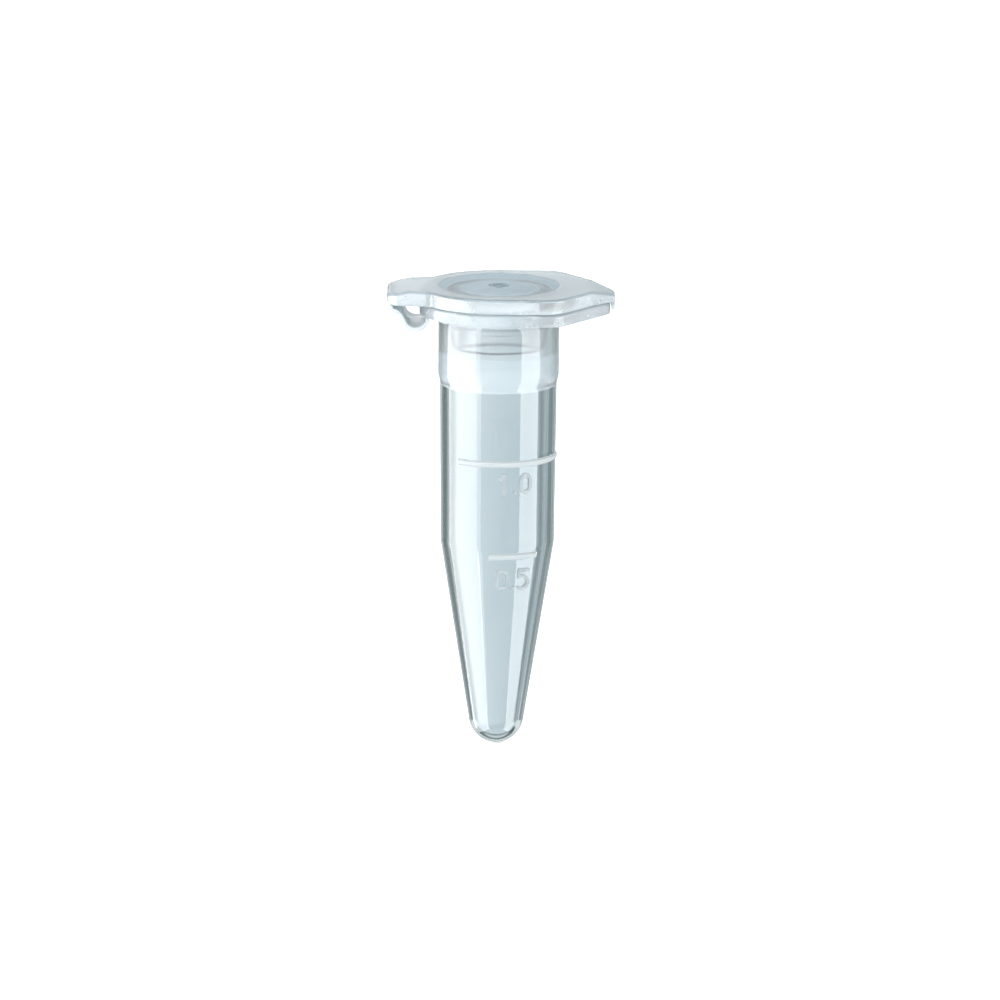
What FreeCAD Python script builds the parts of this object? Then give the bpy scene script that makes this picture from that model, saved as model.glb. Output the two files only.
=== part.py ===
import FreeCAD, Part
import math
import os
import re
import Sketcher

# Microcentrifuge tube, 1.5 mL, closed: one clear moulding with a living hinge.
# Millimetres, +Z up. The origin is on the tube's axis at the seat plane, the underside
# of the rim, which rests on a rack. The hinge is at -X, the thumb tab at +X, and the
# volume scale faces -Y. Each functional section of the moulding is its own body.

V = FreeCAD.Vector

# Driving dimensions. Depths are counted down from the seat plane, heights up from it.
SIZES = {
    # tube wall
    "tube_depth": 39.3,
    "tip_radius": 2.46,
    "tip_bore_radius": 2.0,
    "tip_floor": 0.5,
    "cone_angle": 9.15,
    "barrel_depth": 20.8,
    "barrel_bore_low": 4.35,
    "barrel_top_radius": 5.22,
    "barrel_bore_top": 4.45,
    # mouth
    "collar_depth": 6.3,
    "collar_taper": 0.8,
    "collar_radius": 5.4,
    "collar_bore": 4.7,
    "collar_flare": 0.7,
    "collar_head_radius": 5.6,
    # rim and lid share one outline
    "rim_radius": 7.1,
    "shoulder_reach": 5.3,
    "shoulder_side": 7.0,
    "shoulder_round": 2.6,
    "nose_apex": 10.4,
    "nose_round": 2.0,
    "rim_height": 1.1,
    "edge_round": 0.3,
    "lead_in": 0.25,
    "relief_start": 5.95,
    "relief_height": 0.15,
    # how far a cutting or trimming outline goes past the material
    "overcut": 0.8,
    # strap
    "loop_centre_x": 7.4,
    "loop_centre_z": 0.15,
    "loop_radius": 1.15,
    "strap_thickness": 0.4,
    "strap_width": 6.4,
    "root_angle": 25,
    "flare_angle": 200,
    "flare_radius": 1.85,
    "flare_sweep": 48.8,
    "fold_radius": 0.25,
    "fold_gap": 0.04,
    "stub_angle_right": 45,
    "stub_angle_left": 135,
    # lid
    "lid_bottom": 1.16,
    "lid_top": 2.5,
    "neck_x": 6.0,
    "tongue_start": 8.0,
    "tongue_end": 10.0,
    "tongue_tip_top": 2.1,
    "tongue_round": 0.5,
    "tongue_width": 6.8,
    "tongue_corner": 1.3,
    "tab_start": 8.2,
    "tab_end": 10.35,
    "tab_tip_width": 1.8,
    "tab_tip_top": 1.9,
    "tab_round": 0.8,
    "lip_start": 10.0,
    "lip_end": 10.33,
    "lip_bottom": 0.5,
    "lip_width": 1.6,
    # plug
    "plug_radius": 4.45,
    "plug_bore": 3.65,
    "plug_depth": 3.05,
    "plug_taper_depth": 1.3,
    "plug_edge_radius": 4.2,
    "plug_edge_depth": 2.75,
    "plug_nose_radius": 4.0,
    "bead_radius": 4.61,
    "bead_depth": 0.45,
    "bead_half_height": 0.35,
    # volume scale
    "line_low_depth": 21.25,
    "line_high_depth": 12.8,
    "line_width": 0.6,
    "mark_rise": 0.14,
    "line_low_sweep": 52,
    "line_high_sweep": 130,
    "scale_heading": 17.6,
    "line_high_heading": 22.5,
    "digit_height": 1.9,
    "digit_width": 1.2,
    "digit_stroke": 0.3,
    "digit_pitch": 1.0,
    "digits_low_depth": 23.4,
    "digits_high_depth": 14.6,
}

# Worked out from the dimensions above, as formulas that stay live in the document.
# The outer cone is tangent to the round tip; a wall radius is a line in depth.
TIP_CENTRE = "(tube_depth - tip_radius)"
TIP_BORE_CENTRE = "(tube_depth - tip_floor - tip_bore_radius)"
TANGENT_RADIUS = "tip_radius * cos(cone_angle)"
TANGENT_Z = f"-({TIP_CENTRE} + tip_radius * sin(cone_angle))"
TANGENT_BORE_RADIUS = "tip_bore_radius * cos(cone_angle)"
TANGENT_BORE_Z = f"-({TIP_BORE_CENTRE} + tip_bore_radius * sin(cone_angle))"
STRAP_IN = "(loop_radius - strap_thickness / 2)"
STRAP_OUT = "(loop_radius + strap_thickness / 2)"
FOLD_CLEAR = "(fold_radius + fold_gap)"
NECK_SIDE = "sqrt(rim_radius ^ 2 - neck_x ^ 2)"
TAB_SIDE = "((nose_apex - tab_start) * shoulder_side / (nose_apex - shoulder_reach))"
BEAD_RISE = "(bead_radius - plug_radius)"
BEAD_ARC = f"((bead_half_height ^ 2 + {BEAD_RISE} ^ 2) / (2 * {BEAD_RISE}))"


def cone_radius(depth):
    """Outer radius of the cone at a depth, as a formula."""
    return f"(tip_radius / cos(cone_angle) + ({TIP_CENTRE} - {depth}) * tan(cone_angle))"


BARREL_LOW_RADIUS = cone_radius("barrel_depth")


def barrel_radius(depth):
    """Outer radius of the slightly tapered barrel at a depth, as a formula."""
    fall = f"({depth} - collar_depth) / (barrel_depth - collar_depth)"
    return f"(barrel_top_radius - (barrel_top_radius - {BARREL_LOW_RADIUS}) * {fall})"


doc = FreeCAD.newDocument("MicroTube")
sheet = doc.addObject("Spreadsheet::Sheet", "Sizes")
for row, (alias, size) in enumerate(SIZES.items(), start=1):
    sheet.set(f"A{row}", alias)
    sheet.set(f"B{row}", str(size))
    sheet.setAlias(f"B{row}", alias)
doc.recompute()


def bound(formula):
    """The formula with each dimension's name pointing into the sheet."""
    return re.sub(r"[a-z][a-z_]+", lambda w: f"Sizes.{w[0]}" if w[0] in SIZES else w[0], formula)


def number(formula):
    """What the formula comes to now."""
    return float(sheet.evalExpression(formula))


def new_body(name):
    body = doc.addObject("PartDesign::Body", name)
    body.Label = name
    return body


def pin_point(sketch, edge, end, x, y):
    """Hold one end of an edge at the place that two formulas give."""
    for kind, formula, axis in (("DistanceX", x, -2), ("DistanceY", y, -1)):
        if formula == "0":
            sketch.addConstraint(Sketcher.Constraint("PointOnObject", edge, end, axis))
        else:
            at = sketch.addConstraint(
                Sketcher.Constraint(kind, -1, 1, edge, end, number(formula))
            )
            sketch.setExpression(f"Constraints[{at}]", bound(formula))


def arc_between(a, b, radius, turn):
    """The short arc from a to b, turning left (+1) or right (-1) as it goes."""
    chord = b - a
    rise = math.sqrt(max(radius**2 - chord.Length**2 / 4, 0))
    side = V(-chord.y, chord.x, 0).normalize() * rise * turn
    centre = (a + b) / 2 + side
    first, last = (a, b) if turn > 0 else (b, a)
    angles = [math.atan2(p.y - centre.y, p.x - centre.x) for p in (first, last)]
    return Part.ArcOfCircle(Part.Circle(centre, V(0, 0, 1), radius), *angles)


def new_sketch(body, name, role, path, offset=None, holes=(), centre=("0", "0")):
    """A closed outline on one of the body's origin planes.

    path is a list of corners (x, y), each a formula. A corner (x, y, radius, turn) is
    joined to the next one by an arc. holes are radii of circles about the centre.
    """
    sketch = body.newObject("Sketcher::SketchObject", name)
    plane = next(f for f in body.Origin.OriginFeatures if f.Role == role)
    sketch.AttachmentSupport = [(plane, "")]
    sketch.MapMode = "FlatFace"
    if offset:
        sketch.setExpression("AttachmentOffset.Base.z", bound(offset))
    places = [V(number(c[0]), number(c[1]), 0) for c in path]
    ends = []
    for i, corner in enumerate(path):
        a, b = places[i], places[(i + 1) % len(path)]
        if len(corner) == 2:
            sketch.addGeometry(Part.LineSegment(a, b))
            ends.append((1, 2))
        else:
            radius, turn = corner[2:]
            sketch.addGeometry(arc_between(a, b, number(radius), turn))
            ends.append((1, 2) if turn > 0 else (2, 1))
    for i, corner in enumerate(path):
        after = (i + 1) % len(path)
        sketch.addConstraint(
            Sketcher.Constraint("Coincident", i, ends[i][1], after, ends[after][0])
        )
        pin_point(sketch, i, ends[i][0], corner[0], corner[1])
        if len(corner) > 2:
            at = sketch.addConstraint(Sketcher.Constraint("Radius", i, number(corner[2])))
            sketch.setExpression(f"Constraints[{at}]", bound(corner[2]))
    middle = V(number(centre[0]), number(centre[1]), 0)
    for radius in holes:
        edge = sketch.addGeometry(Part.Circle(middle, V(0, 0, 1), number(radius)))
        pin_point(sketch, edge, 3, *centre)
        at = sketch.addConstraint(Sketcher.Constraint("Radius", edge, number(radius)))
        sketch.setExpression(f"Constraints[{at}]", bound(radius))
    return sketch


def turned(name, path, sweep=None, heading=0):
    """A body turned about the tube's axis from a profile of (radius, height) corners."""
    body = new_body(name)
    profile = new_sketch(body, f"{name}_profile", "XZ_Plane", path)
    turn = body.newObject("PartDesign::Revolution", f"{name}_turn")
    turn.Profile = profile
    turn.ReferenceAxis = (profile, ["V_Axis"])
    turn.Angle = 360
    if sweep:
        turn.Midplane = True
        turn.setExpression("Angle", bound(sweep))
        body.Placement = FreeCAD.Placement(V(0, 0, 0), FreeCAD.Rotation(V(0, 0, 1), heading))
    body.Tip = turn
    return body


def plate(name, path, low, thickness, holes=()):
    """A flat body: a plan outline padded up from a height."""
    body = new_body(name)
    outline = new_sketch(body, f"{name}_outline", "XY_Plane", path, offset=low, holes=holes)
    pad = body.newObject("PartDesign::Pad", f"{name}_pad")
    pad.Profile = outline
    pad.setExpression("Length", bound(thickness))
    body.Tip = pad
    return body


def across(name, path, width="strap_width"):
    """A body of constant side profile (x, height), padded evenly to both sides."""
    body = new_body(name)
    outline = new_sketch(body, f"{name}_outline", "XZ_Plane", path)
    pad = body.newObject("PartDesign::Pad", f"{name}_pad")
    pad.Profile = outline
    pad.SideType = "Symmetric"
    pad.setExpression("Length", bound(width))
    body.Tip = pad
    return body


def cut_across(body, name, path):
    """Cut a side profile (x, height) right through a body, and make sure that it cut."""
    doc.recompute()
    before = body.Shape.Volume
    outline = new_sketch(body, f"{name}_outline", "XZ_Plane", path)
    pocket = body.newObject("PartDesign::Pocket", name)
    pocket.Profile = outline
    pocket.SideType = "Symmetric"
    pocket.setExpression("Length", bound("2 * (rim_radius + overcut)"))
    body.Tip = pocket
    doc.recompute()
    if not body.Shape.Volume < before - 1e-4:
        raise RuntimeError(f"{name} cuts nothing")


def dress(body, kind, name, size, chosen):
    """Fillet or chamfer the edges of the body's last feature that chosen picks."""
    doc.recompute()
    last = body.Tip
    names = [f"Edge{i}" for i, e in enumerate(last.Shape.Edges, start=1) if chosen(e)]
    if not names:
        raise RuntimeError(f"{name} found no edge")
    feature = body.newObject(f"PartDesign::{kind}", name)
    feature.Base = (last, names)
    feature.setExpression("Radius" if kind == "Fillet" else "Size", bound(size))
    body.Tip = feature
    doc.recompute()


def both(name, base, tool):
    """What two bodies share, such as a side profile and a plan."""
    common = doc.addObject("Part::Common", name)
    common.Label = name
    common.Base = base
    common.Tool = tool
    return common


def upright_at(x, side):
    """Picks the vertical edges at a plan position, on both sides of the XZ plane."""

    def chosen(edge):
        a, b = edge.BoundBox, (x, abs(side))
        return a.XLength + a.YLength < 1e-4 and math.dist((a.XMin, abs(a.YMin)), b) < 1e-3

    return chosen


def level_at(height, outside=0, but_not=()):
    """Picks the edges at a height that stay outside a radius about the tube's axis.

    Straight edges on the X planes in but_not are left out.
    """

    def chosen(edge):
        box = edge.BoundBox
        level = box.ZLength < 1e-4 and abs(box.ZMin - height) < 1e-4
        nearest = min(math.hypot(end.X, end.Y) for end in edge.Vertexes)
        on_plane = box.XLength < 1e-4 and any(abs(box.XMin - x) < 1e-3 for x in but_not)
        return level and nearest > outside + 1e-3 and not on_plane

    return chosen


def tube_tip():
    """Closed round end, up to where the cone is tangent to it."""
    return turned("tube_tip", [
        ("0", "-tube_depth", "tip_radius", 1),
        (TANGENT_RADIUS, TANGENT_Z),
        (TANGENT_BORE_RADIUS, TANGENT_BORE_Z, "tip_bore_radius", -1),
        ("0", "-(tube_depth - tip_floor)"),
    ])


def tube_cone():
    """Conical wall between the tip and the barrel."""
    return turned("tube_cone", [
        (TANGENT_RADIUS, TANGENT_Z),
        (BARREL_LOW_RADIUS, "-barrel_depth"),
        ("barrel_bore_low", "-barrel_depth"),
        (TANGENT_BORE_RADIUS, TANGENT_BORE_Z),
    ])


def tube_barrel():
    """Upper wall, which opens by a small draft towards the mouth."""
    return turned("tube_barrel", [
        (BARREL_LOW_RADIUS, "-barrel_depth"),
        ("barrel_top_radius", "-collar_depth"),
        ("barrel_bore_top", "-collar_depth"),
        ("barrel_bore_low", "-barrel_depth"),
    ])


def sealing_collar():
    """Thicker ring at the mouth, up through the rim, with a lead-in for the plug.

    Its straight outside goes in a rack's or rotor's hole, and flares a little up to the rim.
    """
    return turned("sealing_collar", [
        ("barrel_top_radius", "-collar_depth"),
        ("collar_radius", "-(collar_depth - collar_taper)"),
        ("collar_radius", "-collar_flare"),
        ("collar_head_radius", "0"),
        ("collar_head_radius", "rim_height"),
        ("(collar_bore + lead_in)", "rim_height"),
        ("collar_bore", "(rim_height - lead_in)"),
        ("collar_bore", "-(collar_depth - collar_taper)"),
        ("barrel_bore_top", "-collar_depth"),
    ])


def rim_flange():
    """Flat rim round the collar: half a disc, two shoulders and a pointed nose."""
    body = plate("rim_flange", [
        ("0", "-rim_radius"),
        ("shoulder_reach", "-shoulder_side"),
        ("nose_apex", "0"),
        ("shoulder_reach", "shoulder_side"),
        ("0", "rim_radius", "rim_radius", 1),
        ("-rim_radius", "0", "rim_radius", 1),
    ], low=None, thickness="rim_height", holes=["collar_head_radius"])
    dress(body, "Fillet", "rim_shoulders", "shoulder_round",
          upright_at(SIZES["shoulder_reach"], SIZES["shoulder_side"]))
    dress(body, "Fillet", "rim_nose", "nose_round", upright_at(SIZES["nose_apex"], 0))
    dress(body, "Fillet", "rim_edge", "edge_round",
          level_at(SIZES["rim_height"], outside=SIZES["collar_head_radius"]))
    cut_across(body, "strap_relief", [
        ("-(rim_radius + overcut)", "-relief_height"),
        ("-relief_start", "-relief_height"),
        ("-relief_start", "relief_height"),
        ("-(rim_radius + overcut)", "relief_height"),
    ])
    return body


def loop_point(radius, angle):
    """A point of the strap's loop at an angle about its centre, as two formulas."""
    return (
        f"(-loop_centre_x + {radius} * cos({angle}))",
        f"(loop_centre_z + {radius} * sin({angle}))",
    )


def flare_point(radius, angle):
    """A point of the flare, which bends the loop back out to the lid."""
    x, z = loop_point("(loop_radius + flare_radius)", "flare_angle")
    return f"({x} + {radius} * cos({angle}))", f"({z} + {radius} * sin({angle}))"


def end_angle(middle, surface):
    """Angle from a fold's axis, about an arc's centre, to where a strap surface ends."""
    squares = f"({surface} ^ 2 + {middle} ^ 2 - {FOLD_CLEAR} ^ 2)"
    return f"(acos({squares} / (2 * {middle} * {surface})) / 1 deg)"


def fold_point(fold, radius, angle):
    """A point at a radius and an angle about a fold's axis."""
    return f"({fold[0]} + {radius} * cos({angle}))", f"({fold[1]} + {radius} * sin({angle}))"


ROOT_FOLD = loop_point("loop_radius", "(-root_angle)")
LID_FOLD = flare_point("flare_radius", "(flare_angle - 180 + flare_sweep)")


def hinge_root():
    """Short stub that hangs from the rim and ends in the first fold."""
    return across("hinge_root", [
        (f"({ROOT_FOLD[0]} + fold_radius)", "relief_height"),
        (f"({ROOT_FOLD[0]} - fold_radius)", "relief_height"),
        (*fold_point(ROOT_FOLD, "fold_radius", "stub_angle_left"), "fold_radius", -1),
        fold_point(ROOT_FOLD, "fold_radius", "stub_angle_right"),
    ])


def fold_bead(name, fold):
    """A living hinge's thin web, as a round bead on the fold's axis."""
    body = new_body(name)
    section = new_sketch(body, f"{name}_section", "XZ_Plane", [], holes=["fold_radius"], centre=fold)
    pad = body.newObject("PartDesign::Pad", f"{name}_pad")
    pad.Profile = section
    pad.SideType = "Symmetric"
    pad.setExpression("Length", bound("strap_width"))
    body.Tip = pad
    return body


def hinge_strap():
    """Thin leaf: a loop hanging from the root fold, then a flare out to the lid fold.

    Both ends are hollow, concentric with the folds, so that the leaf can turn there.
    """
    flare_in = "(flare_radius + strap_thickness / 2)"
    flare_out = "(flare_radius - strap_thickness / 2)"
    flare_end = "(flare_angle - 180 + flare_sweep)"
    root_out = f"(-root_angle - {end_angle('loop_radius', STRAP_OUT)})"
    root_in = f"(-root_angle - {end_angle('loop_radius', STRAP_IN)})"
    lid_out = f"({flare_end} - {end_angle('flare_radius', flare_out)})"
    lid_in = f"({flare_end} - {end_angle('flare_radius', flare_in)})"
    return across("hinge_strap", [
        (*loop_point(STRAP_OUT, root_out), STRAP_OUT, -1),
        (*loop_point(STRAP_OUT, "flare_angle"), flare_out, 1),
        (*flare_point(flare_out, lid_out), FOLD_CLEAR, 1),
        (*flare_point(flare_in, lid_in), flare_in, -1),
        (*loop_point(STRAP_IN, "flare_angle"), STRAP_IN, 1),
        (*loop_point(STRAP_IN, root_in), FOLD_CLEAR, 1),
    ])


def lid_hinge_leaf():
    """Tongue of the lid: it narrows a little and stands on the lid fold."""
    side = across("tongue_side", [
        ("-neck_x", "lid_bottom"),
        (f"({LID_FOLD[0]} + fold_radius)", "lid_bottom"),
        (*fold_point(LID_FOLD, "fold_radius", "stub_angle_right"), "fold_radius", 1),
        fold_point(LID_FOLD, "fold_radius", "stub_angle_left"),
        (f"({LID_FOLD[0]} - fold_radius)", "lid_bottom"),
        ("-(tongue_end - tongue_round)", "lid_bottom", "tongue_round", -1),
        ("-tongue_end", "(lid_bottom + tongue_round)"),
        ("-tongue_end", "tongue_tip_top"),
        ("-tongue_start", "lid_top"),
        ("-neck_x", "lid_top"),
    ], width="2 * rim_radius")
    plan = plate("tongue_plan", [
        ("-neck_x", NECK_SIDE),
        ("-tongue_start", "(tongue_width / 2)"),
        ("-tongue_end", "(tongue_width / 2)"),
        ("-tongue_end", "(-tongue_width / 2)"),
        ("-tongue_start", "(-tongue_width / 2)"),
        ("-neck_x", f"-{NECK_SIDE}"),
    ], low=None, thickness="(lid_top + overcut)")
    dress(plan, "Fillet", "tongue_corners", "tongue_corner",
          upright_at(-SIZES["tongue_end"], SIZES["tongue_width"] / 2))
    return both("lid_hinge_leaf", side, plan)


def lid_plate():
    """Flat lid over the rim, with the same shoulders; the neck and tab are cut off it."""
    body = plate("lid_plate", [
        ("-neck_x", f"-{NECK_SIDE}", "rim_radius", 1),
        ("0", "-rim_radius"),
        ("shoulder_reach", "-shoulder_side"),
        ("tab_start", f"-{TAB_SIDE}"),
        ("tab_start", TAB_SIDE),
        ("shoulder_reach", "shoulder_side"),
        ("0", "rim_radius", "rim_radius", 1),
        ("-neck_x", NECK_SIDE),
    ], low="lid_bottom", thickness="(lid_top - lid_bottom)")
    dress(body, "Fillet", "lid_shoulders", "shoulder_round",
          upright_at(SIZES["shoulder_reach"], SIZES["shoulder_side"]))
    cuts = (-SIZES["neck_x"], SIZES["tab_start"])
    dress(body, "Fillet", "lid_edge", "edge_round", level_at(SIZES["lid_top"], but_not=cuts))
    return body


def thumb_tab():
    """End of the lid that a thumb lifts: it narrows, thins and droops."""
    side = across("tab_side", [
        ("tab_start", "lid_bottom"),
        ("tab_end", "lid_bottom"),
        ("tab_end", "tab_tip_top"),
        ("tab_start", "lid_top"),
    ], width="2 * rim_radius")
    plan = plate("tab_plan", [
        ("tab_start", f"-{TAB_SIDE}"),
        ("tab_end", "(-tab_tip_width / 2)"),
        ("tab_end", "(tab_tip_width / 2)"),
        ("tab_start", TAB_SIDE),
    ], low=None, thickness="(lid_top + overcut)")
    dress(plan, "Fillet", "tab_corners", "tab_round",
          upright_at(SIZES["tab_end"], SIZES["tab_tip_width"] / 2))
    return both("thumb_tab", side, plan)


def thumb_lip():
    """Small edge under the tab that drops in front of the rim's nose."""
    return across("thumb_lip", [
        ("lip_start", "lip_bottom"),
        ("lip_end", "lip_bottom"),
        ("lip_end", "lid_bottom"),
        ("lip_start", "lid_bottom"),
    ], width="lip_width")


def sealing_plug():
    """Hollow plug. It tapers, so that it clears the collar while the lid swings up."""
    return turned("sealing_plug", [
        ("plug_bore", "lid_bottom"),
        ("plug_bore", "-plug_depth"),
        ("plug_nose_radius", "-plug_depth"),
        ("plug_edge_radius", "-plug_edge_depth"),
        ("plug_radius", "-plug_taper_depth"),
        ("plug_radius", "lid_bottom"),
    ])


def plug_bead():
    """Raised ring round the plug that makes the seal in the collar."""
    return turned("plug_bead", [
        ("plug_radius", "-(bead_depth + bead_half_height)", BEAD_ARC, 1),
        ("plug_radius", "-(bead_depth - bead_half_height)"),
    ])


def scale_line(name, depth, wall_radius, sweep, heading):
    """A raised line round part of the wall, with sloping flanks."""
    low, high = f"({depth} + line_width / 2)", f"({depth} - line_width / 2)"
    return turned(name, [
        (wall_radius(low), f"-{low}"),
        (f"({wall_radius(low)} + mark_rise)", f"-({low} - mark_rise)"),
        (f"({wall_radius(high)} + mark_rise)", f"-({high} + mark_rise)"),
        (wall_radius(high), f"-{high}"),
    ], sweep=sweep, heading=SIZES[heading] - 90)


def stroke(points, width):
    """A face round an open centre line, as wide as a pen stroke."""
    return Part.Face(Part.Wire(points).makeOffset2D(width / 2))


def character(which, x, z):
    """The flat face of one character, centred at (x, z) in the XZ plane."""
    tall, wide = number("digit_height - digit_stroke"), number("digit_width - digit_stroke")
    pen = SIZES["digit_stroke"]
    left, right, low, high = x - wide / 2, x + wide / 2, z - tall / 2, z + tall / 2

    def at(px, pz):
        return V(px, 0, pz)

    if which == "0":
        round_z = wide / 2
        ring = Part.Wire([
            Part.LineSegment(at(left, low + round_z), at(left, high - round_z)).toShape(),
            Part.Arc(at(left, high - round_z), at(x, high), at(right, high - round_z)).toShape(),
            Part.LineSegment(at(right, high - round_z), at(right, low + round_z)).toShape(),
            Part.Arc(at(right, low + round_z), at(x, low), at(left, low + round_z)).toShape(),
        ])
        sides = [Part.Face(ring.makeOffset2D(d)) for d in (pen / 2, -pen / 2)]
        sides.sort(key=lambda face: face.Area)
        return sides[1].cut(sides[0])
    if which == "1":
        return stroke([
            Part.LineSegment(at(x - wide / 3, high - wide / 3), at(x, high)).toShape(),
            Part.LineSegment(at(x, high), at(x, low)).toShape(),
        ], pen)
    if which == "5":
        waist = z + tall * 0.1
        return stroke([
            Part.LineSegment(at(right, high), at(left, high)).toShape(),
            Part.LineSegment(at(left, high), at(left, waist)).toShape(),
            Part.Arc(at(left, waist), at(right, (waist + low) / 2), at(left, low)).toShape(),
        ], pen)
    dot = Part.Circle(at(x, low), V(0, 1, 0), pen * 0.6)
    return Part.Face(Part.Wire(dot.toShape()))


def scale_digits(name, text, depth, wall_radius):
    """Raised volume number, wrapped on the wall below its line."""
    low, high = (f"({depth} + digit_height)", f"({depth} - digit_height)")
    low_z, tall = -number(low), number("2 * digit_height")
    radii = number(wall_radius(low)), number(wall_radius(high))
    rise = SIZES["mark_rise"]
    skin = Part.makeCone(radii[0] + rise, radii[1] + rise, tall, V(0, 0, low_z))
    skin = skin.cut(Part.makeCone(*radii, tall, V(0, 0, low_z)))
    raised = []
    for i, which in enumerate(text):
        x = (i - (len(text) - 1) / 2) * SIZES["digit_pitch"]
        block = character(which, x, -SIZES[depth]).extrude(V(0, -SIZES["rim_radius"], 0))
        raised += skin.common(block).Solids
    digits = doc.addObject("Part::Feature", name)
    digits.Label = name
    digits.Shape = Part.makeCompound(raised)
    turn = FreeCAD.Rotation(V(0, 0, 1), SIZES["scale_heading"])
    digits.Placement = FreeCAD.Placement(V(0, 0, 0), turn)
    return digits


NODES = [
    tube_tip(),
    tube_cone(),
    tube_barrel(),
    sealing_collar(),
    rim_flange(),
    hinge_root(),
    fold_bead("root_fold", ROOT_FOLD),
    hinge_strap(),
    fold_bead("lid_fold", LID_FOLD),
    lid_hinge_leaf(),
    lid_plate(),
    thumb_tab(),
    thumb_lip(),
    sealing_plug(),
    plug_bead(),
    scale_line("scale_line_0_5", "line_low_depth", cone_radius, "line_low_sweep",
               "scale_heading"),
    scale_line("scale_line_1_0", "line_high_depth", barrel_radius, "line_high_sweep",
               "line_high_heading"),
    scale_digits("scale_digits_0_5", "0.5", "digits_low_depth", cone_radius),
    scale_digits("scale_digits_1_0", "1.0", "digits_high_depth", barrel_radius),
]

doc.recompute()
for thing in doc.Objects:
    if {"Invalid", "Error"} & set(thing.State):
        raise RuntimeError(f"{thing.Name} failed: {thing.State}")
os.makedirs("parts", exist_ok=True)
for node in NODES:
    if node.Shape.isNull() or not node.Shape.isValid() or not node.Shape.Solids:
        raise RuntimeError(f"{node.Label} has no sound solid")
    node.Shape.exportStep(f"parts/{node.Label}.step")
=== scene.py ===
import math

import bpy
import numpy as np
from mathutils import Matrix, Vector


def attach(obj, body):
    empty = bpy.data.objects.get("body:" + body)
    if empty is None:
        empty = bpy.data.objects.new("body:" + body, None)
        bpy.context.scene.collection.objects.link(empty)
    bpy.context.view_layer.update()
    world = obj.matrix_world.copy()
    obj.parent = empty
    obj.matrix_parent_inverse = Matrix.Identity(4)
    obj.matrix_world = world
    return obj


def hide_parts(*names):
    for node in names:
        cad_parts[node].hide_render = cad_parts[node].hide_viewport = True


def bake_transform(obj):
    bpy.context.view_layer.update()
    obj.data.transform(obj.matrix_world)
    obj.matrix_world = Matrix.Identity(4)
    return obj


# Microcentrifuge tube: one clear moulding, so each moving section is one seamless mesh.
# Sizes are in millimetres and become metres when a mesh is made. The CAD's seat plane,
# the underside of the rim, is z = 0, and the tube's axis is the Z axis.

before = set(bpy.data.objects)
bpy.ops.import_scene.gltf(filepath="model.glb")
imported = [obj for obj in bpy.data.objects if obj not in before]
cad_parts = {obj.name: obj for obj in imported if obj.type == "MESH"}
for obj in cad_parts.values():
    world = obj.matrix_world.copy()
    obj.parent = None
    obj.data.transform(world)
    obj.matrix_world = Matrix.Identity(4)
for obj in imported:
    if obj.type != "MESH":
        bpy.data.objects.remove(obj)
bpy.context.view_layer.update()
MM = 0.001

# Turned profiles, (radius, height), from the CAD.
TIP_Z, TIP_R, TIP_CENTRE = -39.3, 2.46, -36.84
TIP_BORE_Z, TIP_BORE_R, TIP_BORE_CENTRE = -38.8, 2.0, -36.8
CONE_ANGLE = math.radians(9.15)
RIM_TOP = 1.1
LID_LOW, LID_TOP = 1.16, 2.5
RIM_R = 7.1
EDGE = 0.3
SHOULDER = (5.3, 7.0, 2.6)
NOSE = (10.4, 0.0, 2.0)

# Where the finish of a section changes, and where painted shade and painted light start: heights,
# radii, and how far a face points up.
RIM_FOOT, COLLAR_SHINE, COLLAR_FOOT = -0.3, -3.3, -6.4
PLUG_END, PANEL_FLOOR, LID_EDGE = -2.8, LID_LOW + 0.1, 2.0
COLLAR_SKIN_R, PANEL_R, PLUG_R = 5.2, 5.4, 5.0
STEEP, FLAT = 0.3, 0.9

# Hinge strap, in the XZ plane.
LOOP_CENTRE = Vector((-7.4, 0.15))
LOOP_R, FLARE_R = 1.15, 1.85
ROOT_ANGLE, FLARE_ANGLE, FLARE_SWEEP = -25, 200, 48.8
STRAP_WIDTH, STRAP_THICK, FOLD_THICK = 6.4, 0.4, 0.27


# ---- outlines ---------------------------------------------------------------------------

def rounded(corners, steps=6, closed=False):
    """The polyline through (x, y, radius) corners, each turned by an arc of its radius."""
    points = []
    last = len(corners) - 1
    for i, (x, y, radius) in enumerate(corners):
        here = Vector((x, y))
        if radius == 0 or (not closed and i in (0, last)):
            points.append(here)
            continue
        back = (Vector(corners[i - 1][:2]) - here).normalized()
        ahead = (Vector(corners[(i + 1) % len(corners)][:2]) - here).normalized()
        half = back.angle(ahead) / 2
        start = here + back * radius / math.tan(half)
        centre = here + (back + ahead).normalized() * radius / math.sin(half)
        spoke = start - centre
        turn = math.pi - 2 * half
        side = 1 if back.y * ahead.x - back.x * ahead.y > 0 else -1
        for k in range(steps + 1):
            a = side * turn * k / steps
            points.append(centre + Vector((
                spoke.x * math.cos(a) - spoke.y * math.sin(a),
                spoke.x * math.sin(a) + spoke.y * math.cos(a),
            )))
    return points


def arc(centre, radius, first, last, steps):
    """Points on an arc, from one angle to another in degrees."""
    angles = [math.radians(first + (last - first) * k / steps) for k in range(steps + 1)]
    return [(centre[0] + radius * math.cos(a), centre[1] + radius * math.sin(a)) for a in angles]


def sharp(points):
    return [(x, y, 0.0) for x, y in points]


def mirrored(corners):
    """The corners and then their reflection across the X axis, as one closed outline."""
    return corners + [(x, -y, r) for x, y, r in reversed(corners) if y != 0]


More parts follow.
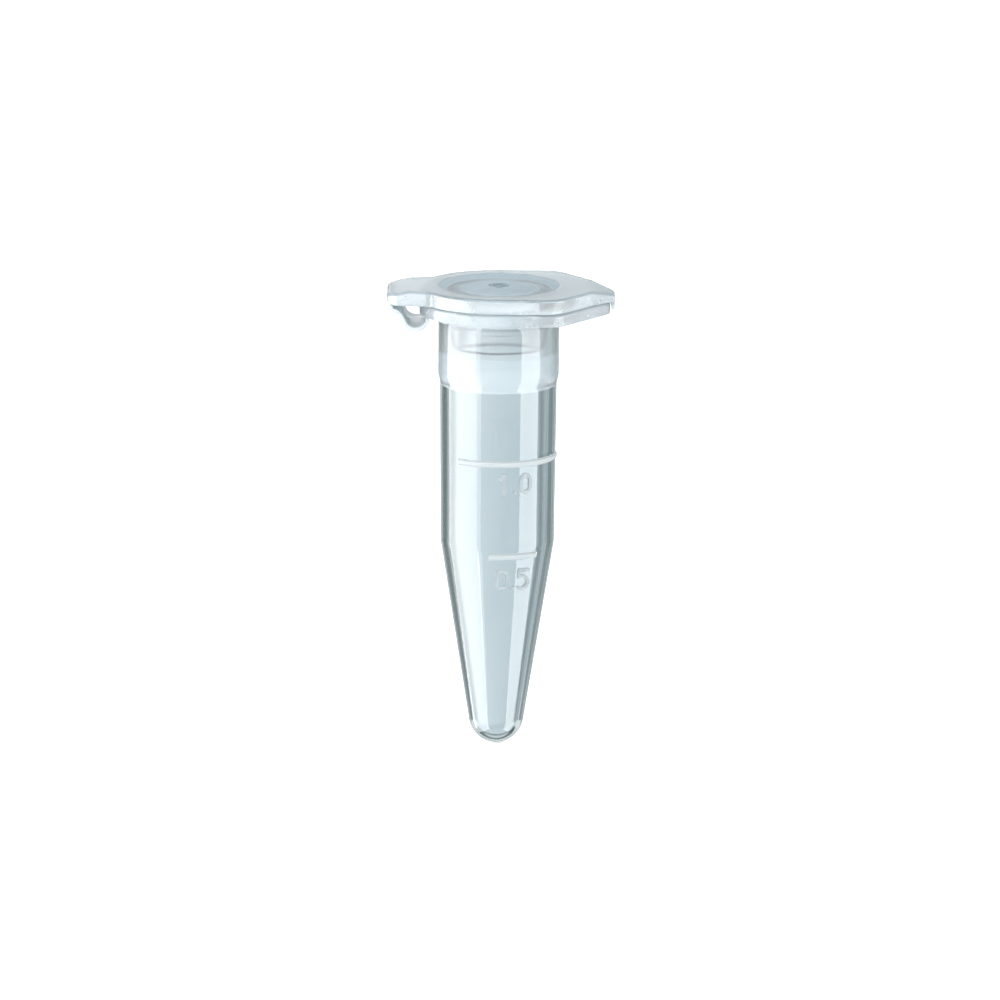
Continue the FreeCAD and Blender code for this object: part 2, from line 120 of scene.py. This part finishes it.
RIM_PLAN = rounded(
    mirrored([NOSE, SHOULDER] + sharp(arc((0, 0), RIM_R, 90, 180, 30))), closed=True
)
LID_PLAN = rounded(
    mirrored(
        [(10.35, 0.9, 0.75), (8.2, 3.02, 1.2), SHOULDER]
        + sharp(arc((0, 0), RIM_R, 90, 146, 18))
        + [(-6.0, 3.796, 0.3), (-8.0, 3.4, 1.0), (-10.0, 3.4, 1.3)]
    ),
    closed=True,
)


def directions():
    """Angles round the axis, closer together where the outlines turn tightly."""
    found, at = [], 0.0
    while at < 360 - 1e-6:
        found.append(at)
        off = min(at, 360 - at)
        close = off < 14 or 40 < off < 66 or off > 142
        at += 0.75 if close else 1.5
    return np.radians(found)


ANGLES = directions()


def circle(radius):
    return np.c_[np.cos(ANGLES), np.sin(ANGLES)] * radius


def along(outline, inset=0.0):
    """Where each direction meets the outline, moved in along the outline's normal."""
    poly = np.array([tuple(p) for p in outline])
    edge = np.roll(poly, -1, axis=0) - poly
    reach = np.zeros(len(ANGLES))
    rays = circle(1.0)
    for i, ray in enumerate(rays):
        cross = edge[:, 0] * ray[1] - edge[:, 1] * ray[0]
        safe = np.where(np.abs(cross) < 1e-12, 1e-12, cross)
        share = (ray[0] * poly[:, 1] - ray[1] * poly[:, 0]) / safe
        point = poly + edge * share[:, None]
        ahead = point @ ray
        hit = (share >= -1e-9) & (share <= 1 + 1e-9) & (ahead > 0)
        reach[i] = ahead[hit].max()
    place = rays * reach[:, None]
    tangent = np.roll(place, -1, axis=0) - np.roll(place, 1, axis=0)
    normal = np.c_[tangent[:, 1], -tangent[:, 0]]
    normal /= np.linalg.norm(normal, axis=1)[:, None]
    return place - normal * inset


def ring(plan, height):
    """A ring of 3D points: a plan, and a height or a function of the plan."""
    z = height(plan[:, 0], plan[:, 1]) if callable(height) else np.full(len(plan), height)
    return np.c_[plan, z]


# ---- meshes -----------------------------------------------------------------------------

def make_object(name, points, faces):
    mesh = bpy.data.meshes.new(name)
    mesh.from_pydata([tuple(np.array(p, float) * MM) for p in points], [], faces)
    mesh.validate()
    mesh.shade_smooth()
    piece = bpy.data.objects.new(name, mesh)
    bpy.context.scene.collection.objects.link(piece)
    return piece


def skin(name, rings, first, last):
    """A closed surface through rings of equal count, from one pole to another."""
    count = len(ANGLES)
    points = [first, *[p for r in rings for p in r], last]
    faces = []

    def at(i, j):
        return 1 + i * count + j % count

    for j in range(count):
        faces.append((0, at(0, j + 1), at(0, j)))
        faces.append((at(len(rings) - 1, j), at(len(rings) - 1, j + 1), len(points) - 1))
        for i in range(len(rings) - 1):
            faces.append((at(i, j), at(i, j + 1), at(i + 1, j + 1), at(i + 1, j)))
    return make_object(name, points, faces)


def eased(path, near=0.12):
    """The path with extra points close to its ends and corners, so that flats stay flat."""
    out = [path[0]]
    for a, b in zip(path, path[1:]):
        a, b = Vector(a), Vector(b)
        length = (b - a).length
        if length > 4 * near:
            out += [a + (b - a) * near / length, b - (b - a) * near / length]
        out.append(b)
    return out


def tube_shell():
    """Tip, cone, barrel, collar and rim as one wall, from the tip over the rim to the floor."""
    under = math.degrees(-CONE_ANGLE)
    outer = arc((0, TIP_CENTRE), TIP_R, -90, under, 14)[1:]
    outer += [tuple(p) for p in eased(rounded([
        (*outer.pop(), 0), (5.075, -20.8, 2.0), (5.22, -6.3, 1.2), (5.4, -5.5, 1.2),
        (5.4, COLLAR_SHINE, 0), (5.4, -0.7, 2.0), (5.6, 0.0, 0),
    ]))]
    inner = eased(rounded([
        (4.95, RIM_TOP, 0), (4.7, 0.85, 0.1), (4.7, -5.5, 1.0), (4.45, -6.3, 1.0),
        (4.35, -20.8, 2.0), (1.975, -37.118, 0),
    ]))
    floor = arc((0, TIP_BORE_CENTRE), TIP_BORE_R, under, -90, 10)[1:-1]
    rings = [ring(circle(r), z) for r, z in outer]
    rings += [ring(circle(5.75), 0.0)]
    rings += [ring(along(RIM_PLAN, d), z) for d, z in ((0.3, 0), (0.1, 0), (0.03, 0.03), (0, 0.1))]
    for k in range(6):
        a = math.radians(90 * k / 5)
        plan = along(RIM_PLAN, EDGE * (1 - math.cos(a)))
        rings.append(ring(plan, RIM_TOP - EDGE * (1 - math.sin(a))))
    rings += [ring(along(RIM_PLAN, 0.42), RIM_TOP), ring(circle(5.2), RIM_TOP)]
    rings += [ring(circle(r), z) for r, z in inner]
    rings += [ring(circle(r), z) for r, z in floor]
    return skin("tube_shell", rings, (0, 0, TIP_Z), (0, 0, TIP_BORE_Z))


def step(low, high, x):
    t = np.clip((x - low) / (high - low), 0, 1)
    return t * t * (3 - 2 * t)


def lid_top(x, y):
    """Height of the lid's top: it falls along the tongue and the tab; the gate mark dips."""
    r = np.hypot(x, y)
    gate = -0.14 * (1 - step(0.75, 1.0, r)) + 0.1 * (1 - step(0.2, 0.45, r))
    panel = -0.06 * (1 - step(5.35, 5.6, r))
    fall = 0.4 * np.clip((-x - 8.0) / 2.0, 0, 1) + 0.6 * np.clip((x - 8.2) / 2.2, 0, 1)
    return LID_TOP - fall + gate + panel


def lid_under(x, y):
    """Height of the lid's underside: the tongue's end turns up, and the lip hangs down."""
    lip = 0.66 * step(9.93, 10.03, x) * step(0.86, 0.74, np.abs(y))
    return LID_LOW - lip + 0.5 - np.sqrt(0.25 - np.clip(-x - 9.5, 0, 0.4999) ** 2)


def lid_shell():
    """Plate, tongue, tab, lip and hollow plug as one body, from the plug's roof to the top."""
    bead = arc((4.1467, -0.45), 0.4633, -49, 49, 8)
    plug = eased(rounded(
        [(3.2, LID_LOW, 0), (3.65, LID_LOW, 0.25), (3.65, -3.05, 0.12), (4.0, -3.05, 0.12),
         (4.2, -2.75, 0.2), (4.45, -1.3, 0.6), (4.45, -0.85, 0)]
    ))
    plug += [Vector(p) for p in bead[1:-1]]
    plug += eased(rounded([(4.45, -0.05, 0), (4.45, LID_LOW, 0.12), (5.0, LID_LOW, 0)]))
    rings = [ring(circle(r), LID_LOW) for r in (1.5, 2.8)]
    rings += [ring(circle(r), z) for r, z in plug]
    base, edge = circle(5.0), along(LID_PLAN, 0.48)
    rings += [ring(base + (edge - base) * t, lid_under) for t in (0.3, 0.6, 0.8, 0.9, 1.0)]
    rings += [ring(along(LID_PLAN, d), lid_under) for d in (0.42, 0.37, 0.32, 0.2, 0.1, 0.05)]
    rings.append(ring(along(LID_PLAN), lambda x, y: lid_under(x, y) + 0.08))
    for k in range(6):
        a = math.radians(90 * k / 5)
        drop = EDGE * (1 - math.sin(a))
        plan = along(LID_PLAN, EDGE * (1 - math.cos(a)))
        rings.append(ring(plan, lambda x, y: lid_top(x, y) - drop))
    edge = along(LID_PLAN, 0.42)
    base = circle(5.7)
    rings += [ring(edge + (base - edge) * t, lid_top) for t in (0, 0.15, 0.3, 0.5, 0.75, 1.0)]
    rings += [ring(circle(r), lid_top) for r in (
        5.6, 5.5, 5.42, 5.35, 5.2, 3.5, 2.0, 1.1, 1.0, 0.93, 0.85, 0.78, 0.72, 0.5, 0.44,
        0.36, 0.28, 0.2, 0.1,
    )]
    top = float(lid_top(np.zeros(1), np.zeros(1))[0])
    return skin("lid_shell", rings, (0, 0, LID_LOW), (0, 0, top))


def strap_line():
    """The strap's middle line as (x, z, thickness): rim, root fold, loop, flare, lid fold."""
    root = Vector(arc(LOOP_CENTRE, LOOP_R, ROOT_ANGLE, ROOT_ANGLE, 1)[0])
    flare_centre = Vector(arc(LOOP_CENTRE, LOOP_R + FLARE_R, FLARE_ANGLE, FLARE_ANGLE, 1)[0])
    turn = FLARE_ANGLE - 180
    loop = arc(LOOP_CENTRE, LOOP_R, ROOT_ANGLE - 6, FLARE_ANGLE - 360, 34)
    flare = arc(flare_centre, FLARE_R, turn, turn + FLARE_SWEEP - 5, 12)[1:]
    fold = Vector(arc(flare_centre, FLARE_R, turn + FLARE_SWEEP, turn + FLARE_SWEEP, 1)[0])
    start = [(root.x + 0.02, 0.03), (root.x + 0.02, -0.12), (root.x + 0.01, -0.22), tuple(root)]
    end = [tuple(fold), (fold.x - 0.03, fold.y + 0.1), (fold.x - 0.04, fold.y + 0.2),
           (fold.x - 0.04, LID_LOW + 0.03)]
    path = start + loop + flare + end
    line = []
    for x, z in path:
        near = min((Vector((x, z)) - p).length for p in (root, fold))
        thick = FOLD_THICK + (STRAP_THICK - FOLD_THICK) * float(step(0.15, 0.6, near))
        line.append((x, z, thick))
    return line


def strap_section(thick):
    """Half-width and half-thickness offsets round the strap, with rounded long edges."""
    w, h, r = STRAP_WIDTH / 2, thick / 2, 0.09
    corners = [(-w, -h, r), (w, -h, r), (w, h, r), (-w, h, r)]
    return [tuple(p) for p in rounded(corners, steps=3, closed=True)]


def strap_half(name, line, cap_first):
    """One half of the strap as a skin, capped where it goes into the moulding.

    The other end is open: the two halves meet there edge to edge, with no wall between.
    """
    rings = []
    for i, (x, z, thick) in enumerate(line):
        before, after = line[max(i - 1, 0)], line[min(i + 1, len(line) - 1)]
        ahead = Vector((after[0] - before[0], after[1] - before[1])).normalized()
        rings.append([
            (x - ahead.y * h, w, z + ahead.x * h) for w, h in strap_section(thick)
        ])
    count = len(rings[0])
    points = [p for r in rings for p in r]
    faces = [
        (i * count + j, i * count + (j + 1) % count,
         (i + 1) * count + (j + 1) % count, (i + 1) * count + j)
        for i in range(len(rings) - 1) for j in range(count)
    ]
    if cap_first:
        faces.append(tuple(reversed(range(count))))
    else:
        faces.append(tuple(range((len(rings) - 1) * count, len(rings) * count)))
    return make_object(name, points, faces)


# ---- materials --------------------------------------------------------------------------

def new_material(name):
    material = bpy.data.materials.new(name)
    material.use_nodes = True
    return material, material.node_tree.nodes, material.node_tree.links


def noise(nodes, links, scale, detail, stretch=(1, 1, 1)):
    """A noise in the object's own space; scale counts features in a metre."""
    where = nodes.new("ShaderNodeTexCoord")
    mapping = nodes.new("ShaderNodeMapping")
    mapping.inputs["Scale"].default_value = stretch
    texture = nodes.new("ShaderNodeTexNoise")
    texture.inputs["Scale"].default_value = scale
    texture.inputs["Detail"].default_value = detail
    links.new(where.outputs["Object"], mapping.inputs["Vector"])
    links.new(mapping.outputs["Vector"], texture.inputs["Vector"])
    return texture.outputs["Fac"]


def spread(nodes, links, value, low, high):
    """The noise's middle range, stretched to run from low to high."""
    node = nodes.new("ShaderNodeMapRange")
    node.inputs["From Min"].default_value = 0.3
    node.inputs["From Max"].default_value = 0.7
    node.inputs["To Min"].default_value = low
    node.inputs["To Max"].default_value = high
    links.new(value, node.inputs["Value"])
    return node.outputs["Result"]


def tinted(nodes, links, value, pale, deep):
    """Colour that drifts between two tints."""
    ramp = nodes.new("ShaderNodeValToRGB")
    ramp.color_ramp.elements[0].position, ramp.color_ramp.elements[0].color = 0.35, (*pale, 1)
    ramp.color_ramp.elements[1].position, ramp.color_ramp.elements[1].color = 0.65, (*deep, 1)
    links.new(value, ramp.inputs["Fac"])
    return ramp.outputs["Color"]


def bumped(nodes, links, shader, heights):
    """Adds (noise, strength, depth in metres) reliefs to the shader's normal."""
    normal = None
    for value, strength, depth in heights:
        bump = nodes.new("ShaderNodeBump")
        bump.inputs["Strength"].default_value = strength
        bump.inputs["Distance"].default_value = depth
        links.new(value, bump.inputs["Height"])
        if normal:
            links.new(normal, bump.inputs["Normal"])
        normal = bump.outputs["Normal"]
    links.new(normal, shader.inputs["Normal"])


def clear_plastic(name, pale, deep, rough, clarity, waves=0.25):
    """Clear polypropylene: a faint blue-grey tint, slow flow waves and fine handling haze."""
    material, nodes, links = new_material(name)
    shader = nodes["Principled BSDF"]
    shader.inputs["Transmission Weight"].default_value = clarity
    shader.inputs["IOR"].default_value = 1.49
    flow = noise(nodes, links, 260, 2, (1, 1, 0.35))
    haze = noise(nodes, links, 2600, 5)
    hairs = noise(nodes, links, 1500, 3, (0.12, 1, 3.5))
    links.new(tinted(nodes, links, flow, pale, deep), shader.inputs["Base Color"])
    links.new(spread(nodes, links, haze, *rough), shader.inputs["Roughness"])
    bumped(nodes, links, shader, [
        (flow, waves, 0.00006), (hairs, 0.06, 0.000004), (haze, 0.05, 0.000003),
    ])
    return material


def frosted_plastic(name, clarity):
    """The raised marks: the same plastic with a finely textured, light-scattering face."""
    material, nodes, links = new_material(name)
    shader = nodes["Principled BSDF"]
    shader.inputs["Transmission Weight"].default_value = clarity
    shader.inputs["IOR"].default_value = 1.49
    grain = noise(nodes, links, 9000, 4)
    cloud = noise(nodes, links, 900, 2)
    links.new(tinted(nodes, links, cloud, (0.93, 0.97, 0.98), (0.85, 0.92, 0.94)),
              shader.inputs["Base Color"])
    links.new(spread(nodes, links, grain, 0.35, 0.6), shader.inputs["Roughness"])
    bumped(nodes, links, shader, [(grain, 0.3, 0.00001)])
    return material


def dress(piece, *materials):
    piece.data.materials.clear()
    for material in materials:
        piece.data.materials.append(material)


# ---- studio -----------------------------------------------------------------------------

# The room's brightness by bearing, in degrees to the right of straight behind the object.
ROOM = [
    (-180, 0.6), (-150, 0.75), (-120, 0.8), (-100, 0.8), (-54, 0.8), (-46, 0.4),
    (-41, 0.16), (-36, 0.13), (-22, 0.13), (-15, 0.4), (-10, 0.85), (-6, 0.85), (6, 0.6),
    (10, 0.6), (12.5, 0.2), (15, 0.2), (19, 0.4), (23, 0.4), (29, 0.19), (42, 0.19), (50, 0.5),
    (75, 0.8), (105, 0.8), (130, 0.6), (160, 0.5), (180, 0.6),
]
# Where the room turns to another level all round, by the sine of the elevation.
ROOM_RINGS = [
    (0.12, 0.3, 0.8), (-0.30, -0.36, 0.7), (-0.54, -0.60, 0.1), (-0.74, -0.84, 0.6),
]
ROOM_TINT = (0.68, 0.97, 1.0)
ROOM_PALE = 0.8  # the level at which the room loses its tint
ROOM_STRENGTH = 1.25
TUBE_MIDDLE = -0.017
LAMP_DISTANCE, LAMP_HEIGHT = 0.35, -0.094


def tinted_light(level):
    """Tint of the room at a level: the darker, the more blue-green."""
    return [min(t + (1 - t) * level / ROOM_PALE, 1) for t in ROOM_TINT]


def room_light():
    """A pale room with darker bearings, which give clear plastic its dark edges."""
    world = bpy.data.worlds.new("studio_room")
    bpy.context.scene.world = world
    world.use_nodes = True
    nodes, links = world.node_tree.nodes, world.node_tree.links
    where = nodes.new("ShaderNodeTexCoord")
    parts = nodes.new("ShaderNodeSeparateXYZ")
    links.new(where.outputs["Generated"], parts.inputs["Vector"])
    bearing = nodes.new("ShaderNodeMath")
    bearing.operation = "ARCTAN2"
    links.new(parts.outputs["X"], bearing.inputs[0])
    links.new(parts.outputs["Y"], bearing.inputs[1])
    share = nodes.new("ShaderNodeMapRange")
    share.inputs["From Min"].default_value = -math.pi
    share.inputs["From Max"].default_value = math.pi
    links.new(bearing.outputs[0], share.inputs["Value"])
    ramp = nodes.new("ShaderNodeValToRGB")
    stops = ramp.color_ramp.elements
    while len(stops) < len(ROOM):
        stops.new(0.5)
    for stop, (degrees, _) in zip(stops, ROOM):
        stop.position = (degrees + 180) / 360
    for stop, (_, level) in zip(stops, ROOM):
        stop.color = (*[level * t for t in tinted_light(level)], 1)
    links.new(share.outputs["Result"], ramp.inputs["Fac"])
    colour = ramp.outputs["Color"]
    for start, end, level in ROOM_RINGS:
        fade = nodes.new("ShaderNodeMapRange")
        fade.interpolation_type = "SMOOTHSTEP"
        fade.inputs["From Min"].default_value = start
        fade.inputs["From Max"].default_value = end
        links.new(parts.outputs["Z"], fade.inputs["Value"])
        mix = nodes.new("ShaderNodeMix")
        mix.data_type = "RGBA"
        links.new(fade.outputs["Result"], mix.inputs["Factor"])
        links.new(colour, mix.inputs[6])
        mix.inputs[7].default_value = (*[level * t for t in tinted_light(level)], 1)
        colour = mix.outputs[2]
    links.new(colour, nodes["Background"].inputs["Color"])
    nodes["Background"].inputs["Strength"].default_value = ROOM_STRENGTH


def softbox(name, bearing, size, radiance):
    """A rectangular light at a bearing from the camera's side, facing the tube."""
    lamp = bpy.data.lights.new(name, "AREA")
    lamp.shape = "RECTANGLE"
    lamp.size, lamp.size_y = size
    lamp.energy = radiance * math.pi * size[0] * size[1]
    box = bpy.data.objects.new(name, lamp)
    a = math.radians(bearing)
    box.location = (LAMP_DISTANCE * math.sin(a), -LAMP_DISTANCE * math.cos(a), LAMP_HEIGHT)
    aim = Vector((0, 0, TUBE_MIDDLE)) - box.location
    box.rotation_euler = aim.to_track_quat("-Z", "Y").to_euler()
    box.visible_transmission = False
    bpy.context.scene.collection.objects.link(box)


def pale_floor():
    """A plain white floor at the tip. The tube's own gloss sees the room through it."""
    material, nodes, links = new_material("white_floor")
    shader = nodes["Principled BSDF"]
    grain = noise(nodes, links, 400, 3)
    links.new(tinted(nodes, links, grain, (0.96, 0.96, 0.96), (0.94, 0.94, 0.94)),
              shader.inputs["Base Color"])
    shader.inputs["Roughness"].default_value = 0.9
    shader.inputs["Specular IOR Level"].default_value = 0.0
    shader.inputs["Emission Color"].default_value = (1, 1, 1, 1)
    shader.inputs["Emission Strength"].default_value = 0.45
    half = 6000
    z = TIP_Z - 0.05
    floor = make_object("floor", [(-half, -half, z), (half, -half, z), (half, half, z),
                                  (-half, half, z)], [(0, 1, 2, 3)])
    floor.data.materials.append(material)
    floor.visible_glossy = False
    floor.visible_transmission = False


def camera():
    """A long lens, a little above the rim, square to the scale side."""
    data = bpy.data.cameras.new("camera")
    distance, width, raise_angle = 1.0, 0.0894, math.radians(12.4)
    data.sensor_width = 36
    data.lens = 36 * distance / width
    data.clip_end = 20
    eye = bpy.data.objects.new("camera", data)
    target = Vector((0.00022, 0, -0.01712))
    back = Vector((0, -math.cos(raise_angle), math.sin(raise_angle)))
    eye.location = target + back * distance
    look = (-back).to_track_quat("-Z", "Y").to_matrix().to_4x4()
    eye.rotation_euler = look.to_euler()
    eye.rotation_euler.rotate_axis("Z", math.radians(0.4))
    bpy.context.scene.collection.objects.link(eye)
    bpy.context.scene.camera = eye
    bpy.context.scene.view_settings.view_transform = "Standard"


# ---- the object -------------------------------------------------------------------------

# Name, two tints, range of roughness, share of light let through, and size of the waves.
WALL = clear_plastic("clear_wall", (0.80, 0.86, 0.89), (0.76, 0.83, 0.865), (0.015, 0.05), 1)
COLLAR = clear_plastic("clear_collar", (0.85, 0.925, 0.965), (0.81, 0.895, 0.94), (0.1, 0.18), 0.84)
GLOSS = clear_plastic("clear_collar_top", (0.97, 0.99, 1), (0.94, 0.97, 0.985), (0.03, 0.08), 0.93)
# Hazy rim finish, with its tint darkened as painted shade so the lid's sides and the rim read
# greyer.
RIM_HAZE_AND_PAINTED_SHADE = clear_plastic("clear_rim_haze_and_painted_shade", (0.84, 0.905, 0.94), (0.80, 0.875, 0.915), (0.18, 0.28), 0.74)
LID = clear_plastic("clear_lid", (0.75, 0.85, 0.905), (0.71, 0.82, 0.88), (0.08, 0.16), 0.85, 0.5)
# Painted shade: the lid's top panel gets a much darker blue-grey copy of the same clear plastic.
PANEL_PAINTED_SHADE = clear_plastic("clear_panel_painted_shade", (0.33, 0.52, 0.64), (0.27, 0.46, 0.58), (0.06, 0.14), 0.85, 0.8)
# Painted shade: an almost dark copy of the clear plastic, laid as dark lines on the lid's far
# rounded edge and below the plug's end.
PAINTED_SHADE_LINE = clear_plastic("painted_shade_line", (0.28, 0.36, 0.40), (0.22, 0.30, 0.34), (0.1, 0.2), 0.75)
# Painted light: the plug gets an almost white copy of the clear plastic, so its stacked walls stay
# pale.
PLUG_PAINTED_LIGHT = clear_plastic("clear_plug_painted_light", (0.98, 0.99, 0.995), (0.96, 0.98, 0.99), (0.05, 0.12), 1)
# Painted light: the strap gets a paler copy of the clear plastic, so its inside reads less grey.
STRAP_PAINTED_LIGHT = clear_plastic("clear_strap_painted_light", (0.89, 0.945, 0.975), (0.85, 0.92, 0.955), (0.15, 0.25), 0.58)
LINE = frosted_plastic("frosted_line", 0.72)
DIGIT = frosted_plastic("frosted_digit", 0.84)

def tube_finish_and_painted_shade(x, y, z, upward):
    """The finish of the tube at a place in millimetres: hazy rim, its tint darkened as painted
    shade, glossy collar, wall.
    """
    if z > RIM_FOOT:
        # The rim takes the hazy copy whose tint is darkened as painted shade.
        return RIM_HAZE_AND_PAINTED_SHADE
    if z > COLLAR_SHINE and math.hypot(x, y) > COLLAR_SKIN_R:
        return GLOSS
    return COLLAR if z > COLLAR_FOOT else WALL


def lid_finish_painted_light_and_shade(x, y, z, upward):
    """The finish of the lid at a place, and by how far its surface faces up there, with painted
    shade on the far edge, the plug's end, the top panel and the sides, and painted light on the
    plug.
    """
    radius = math.hypot(x, y)
    # Painted shade: dark lines on the far, sloping rounded edge of the lid and below the plug's end.
    far_edge_painted_shade = z > LID_EDGE and y > 0 and STEEP < upward < FLAT
    if z < PLUG_END or far_edge_painted_shade:
        return PAINTED_SHADE_LINE
    # Painted shade on the top panel inside the panel's rim.
    if radius < PANEL_R and z > PANEL_FLOOR:
        return PANEL_PAINTED_SHADE
    # Painted light on the plug: the paler copy of the plastic.
    if radius < PLUG_R:
        return PLUG_PAINTED_LIGHT
    # The underside and steep sides take the hazy rim copy, tinted greyer as painted shade.
    return RIM_HAZE_AND_PAINTED_SHADE if z < LID_LOW or abs(upward) < STEEP else LID


def finish_faces(piece, materials, finish):
    dress(piece, *materials)
    for face in piece.data.polygons:
        face.material_index = materials.index(finish(*face.center / MM, face.normal.z))


shell = tube_shell()
finish_faces(shell, [WALL, COLLAR, RIM_HAZE_AND_PAINTED_SHADE, GLOSS], tube_finish_and_painted_shade)
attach(shell, "tube")
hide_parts("tube_tip", "tube_cone", "tube_barrel", "sealing_collar", "rim_flange")

lid = lid_shell()
finish_faces(lid, [LID, PANEL_PAINTED_SHADE, RIM_HAZE_AND_PAINTED_SHADE, PLUG_PAINTED_LIGHT, PAINTED_SHADE_LINE], lid_finish_painted_light_and_shade)
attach(lid, "lid")
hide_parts("lid_hinge_leaf", "lid_plate", "thumb_tab", "thumb_lip", "sealing_plug",
            "plug_bead")

line = strap_line()
lowest = min(range(len(line)), key=lambda i: line[i][1])

lower = strap_half("strap_lower", line[:lowest + 1], True)
dress(lower, STRAP_PAINTED_LIGHT)
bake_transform(lower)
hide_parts("hinge_root", "root_fold")

upper = strap_half("strap_upper", line[lowest:], False)
dress(upper, STRAP_PAINTED_LIGHT)
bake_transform(upper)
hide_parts("hinge_strap", "lid_fold")

for number in ("0_5", "1_0"):
    dress(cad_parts[f"scale_line_{number}"], LINE)
    dress(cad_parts[f"scale_digits_{number}"], DIGIT)

pale_floor()
room_light()
softbox("softbox_left", -78, (0.50, 0.7), 6.5)
softbox("softbox_left_fade", -38, (0.05, 0.7), 3)
softbox("softbox_right", 65, (0.26, 0.7), 6)
camera()
